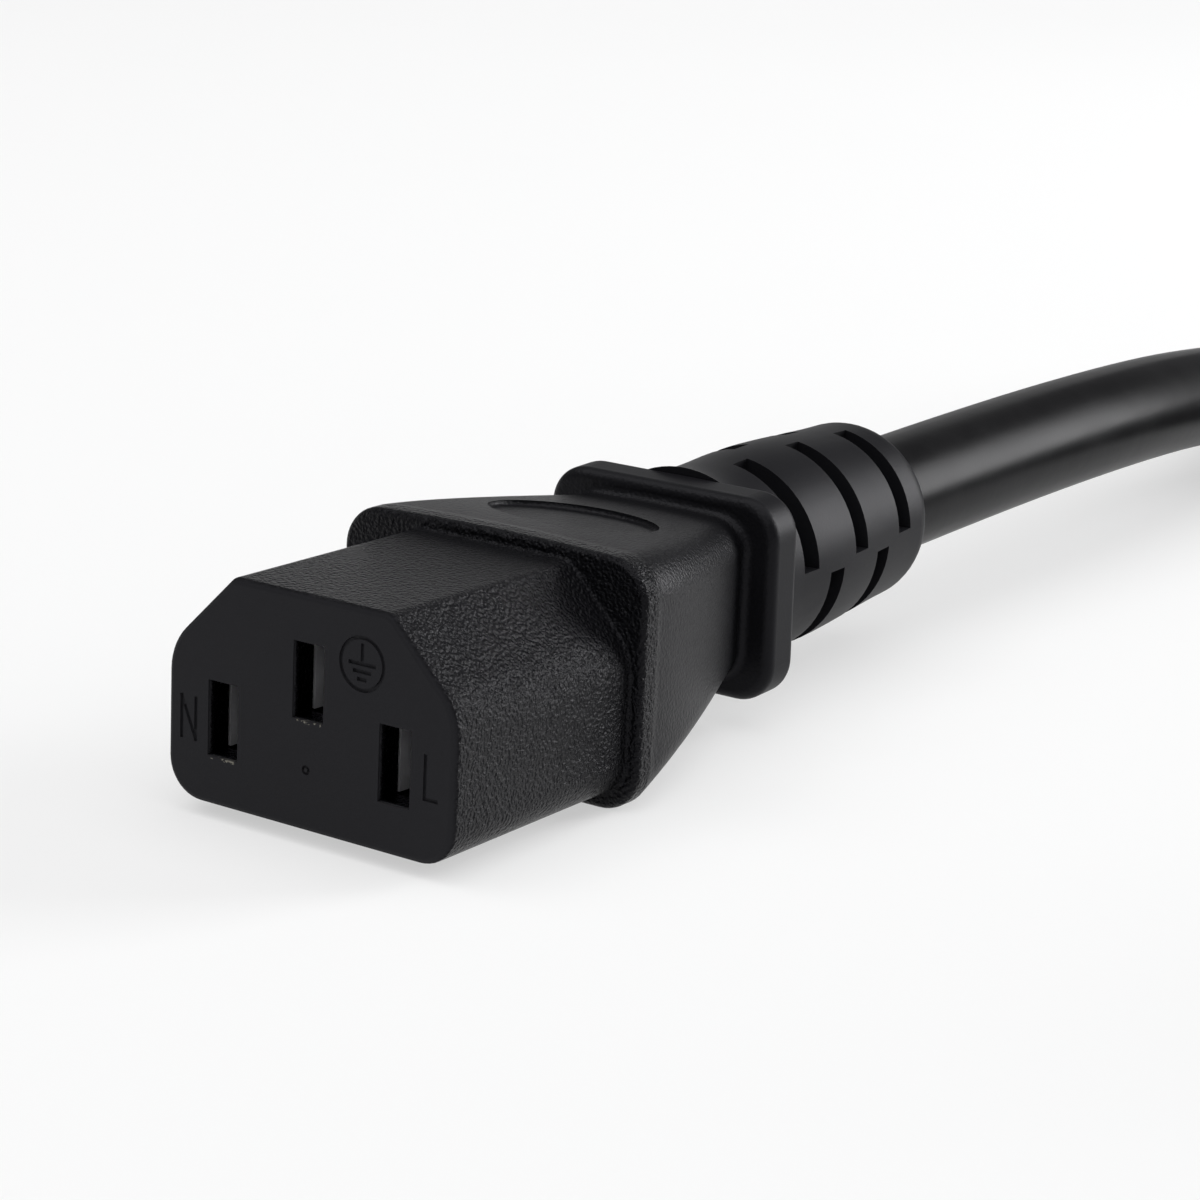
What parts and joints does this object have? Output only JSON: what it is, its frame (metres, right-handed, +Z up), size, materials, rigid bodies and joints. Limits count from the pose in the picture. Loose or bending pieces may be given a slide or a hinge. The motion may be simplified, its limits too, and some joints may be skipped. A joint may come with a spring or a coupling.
{
  "type": "power cord connector",
  "caption": "Moulded black C13 power connector with slotted strain relief, on a coiled and tied mains lead that ends in a C14 plug.",
  "frame": {"origin": "midway between the line and neutral slots, on the connector's engagement face", "axes": "+Y back along the connector towards its cord, +Z up on the earth slot's side, +X to the line slot"},
  "size_m": [0.1213, 0.2559, 0.021],
  "materials": {
    "moulded_pvc": "near-black moulded PVC with a fine grain",
    "insert_plastic": "black rigid insert",
    "cord_jacket": "black extruded PVC with a soft sheen",
    "tie_fabric": "black woven strap",
    "contact_brass": "bare stamped brass",
    "plated_pin": "nickel plated brass",
    "conductor_copper": "stranded copper",
    "line_core": "brown core insulation",
    "neutral_core": "blue core insulation",
    "earth_core": "green core insulation with a yellow stripe"
  },
  "bodies": {
    "root": {"connector_overmould": "moulded_pvc", "contact_carrier": "insert_plastic", "line_contact": "contact_brass", "neutral_contact": "contact_brass", "earth_contact": "contact_brass", "line_insulation": "line_core", "neutral_insulation": "neutral_core", "earth_insulation": "earth_core", "line_conductor": "conductor_copper", "neutral_conductor": "conductor_copper", "earth_conductor": "conductor_copper", "cable_sheath": "cord_jacket", "cable_coil": "cord_jacket", "cable_tail": "cord_jacket", "coil_tie": "tie_fabric", "plug_overmould": "moulded_pvc", "plug_carrier": "insert_plastic", "plug_line_pin": "plated_pin", "plug_neutral_pin": "plated_pin", "plug_earth_pin": "plated_pin", "plug_line_insulation": "line_core", "plug_neutral_insulation": "neutral_core", "plug_earth_insulation": "earth_core", "plug_line_conductor": "conductor_copper", "plug_neutral_conductor": "conductor_copper", "plug_earth_conductor": "conductor_copper"}
  },
  "joints": []
}
